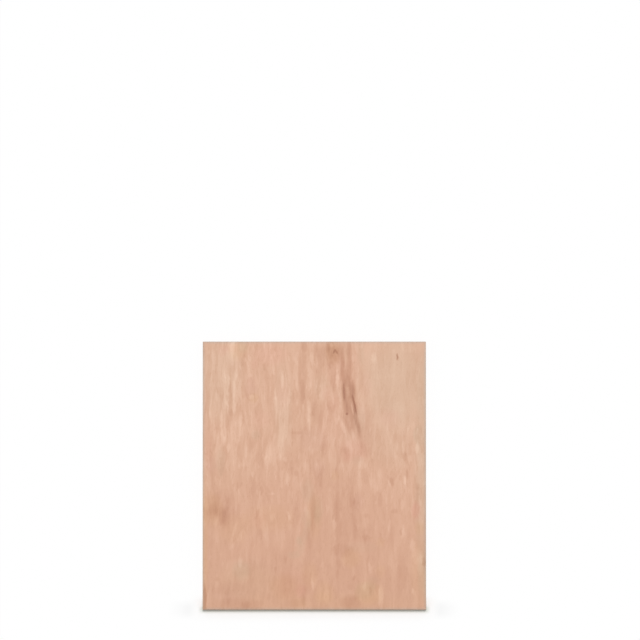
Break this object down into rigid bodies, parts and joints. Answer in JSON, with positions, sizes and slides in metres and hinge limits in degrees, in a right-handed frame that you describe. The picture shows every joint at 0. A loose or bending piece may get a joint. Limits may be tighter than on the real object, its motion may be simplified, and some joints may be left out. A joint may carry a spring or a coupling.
{
  "type": "plywood sheet",
  "caption": "Flat rectangular sheet of light hardwood plywood with square sawn edges, for cutting, gluing and screwing as panel or sheathing stock.",
  "frame": {"origin": "centre of the back, which is the face that the sheet lies on", "axes": "+Z out of the good face, straight up as the sheet lies; +Y along the length and the face grain; +X across the width"},
  "size_m": [0.5, 0.6, 0.018],
  "materials": {
    "plywood": "bare sanded pinkish light hardwood veneer, rotary cut, face grain along the length; sawn edges show alternate long grain and end grain"
  },
  "bodies": {
    "root": {"plywood_sheet": "plywood"}
  },
  "joints": []
}
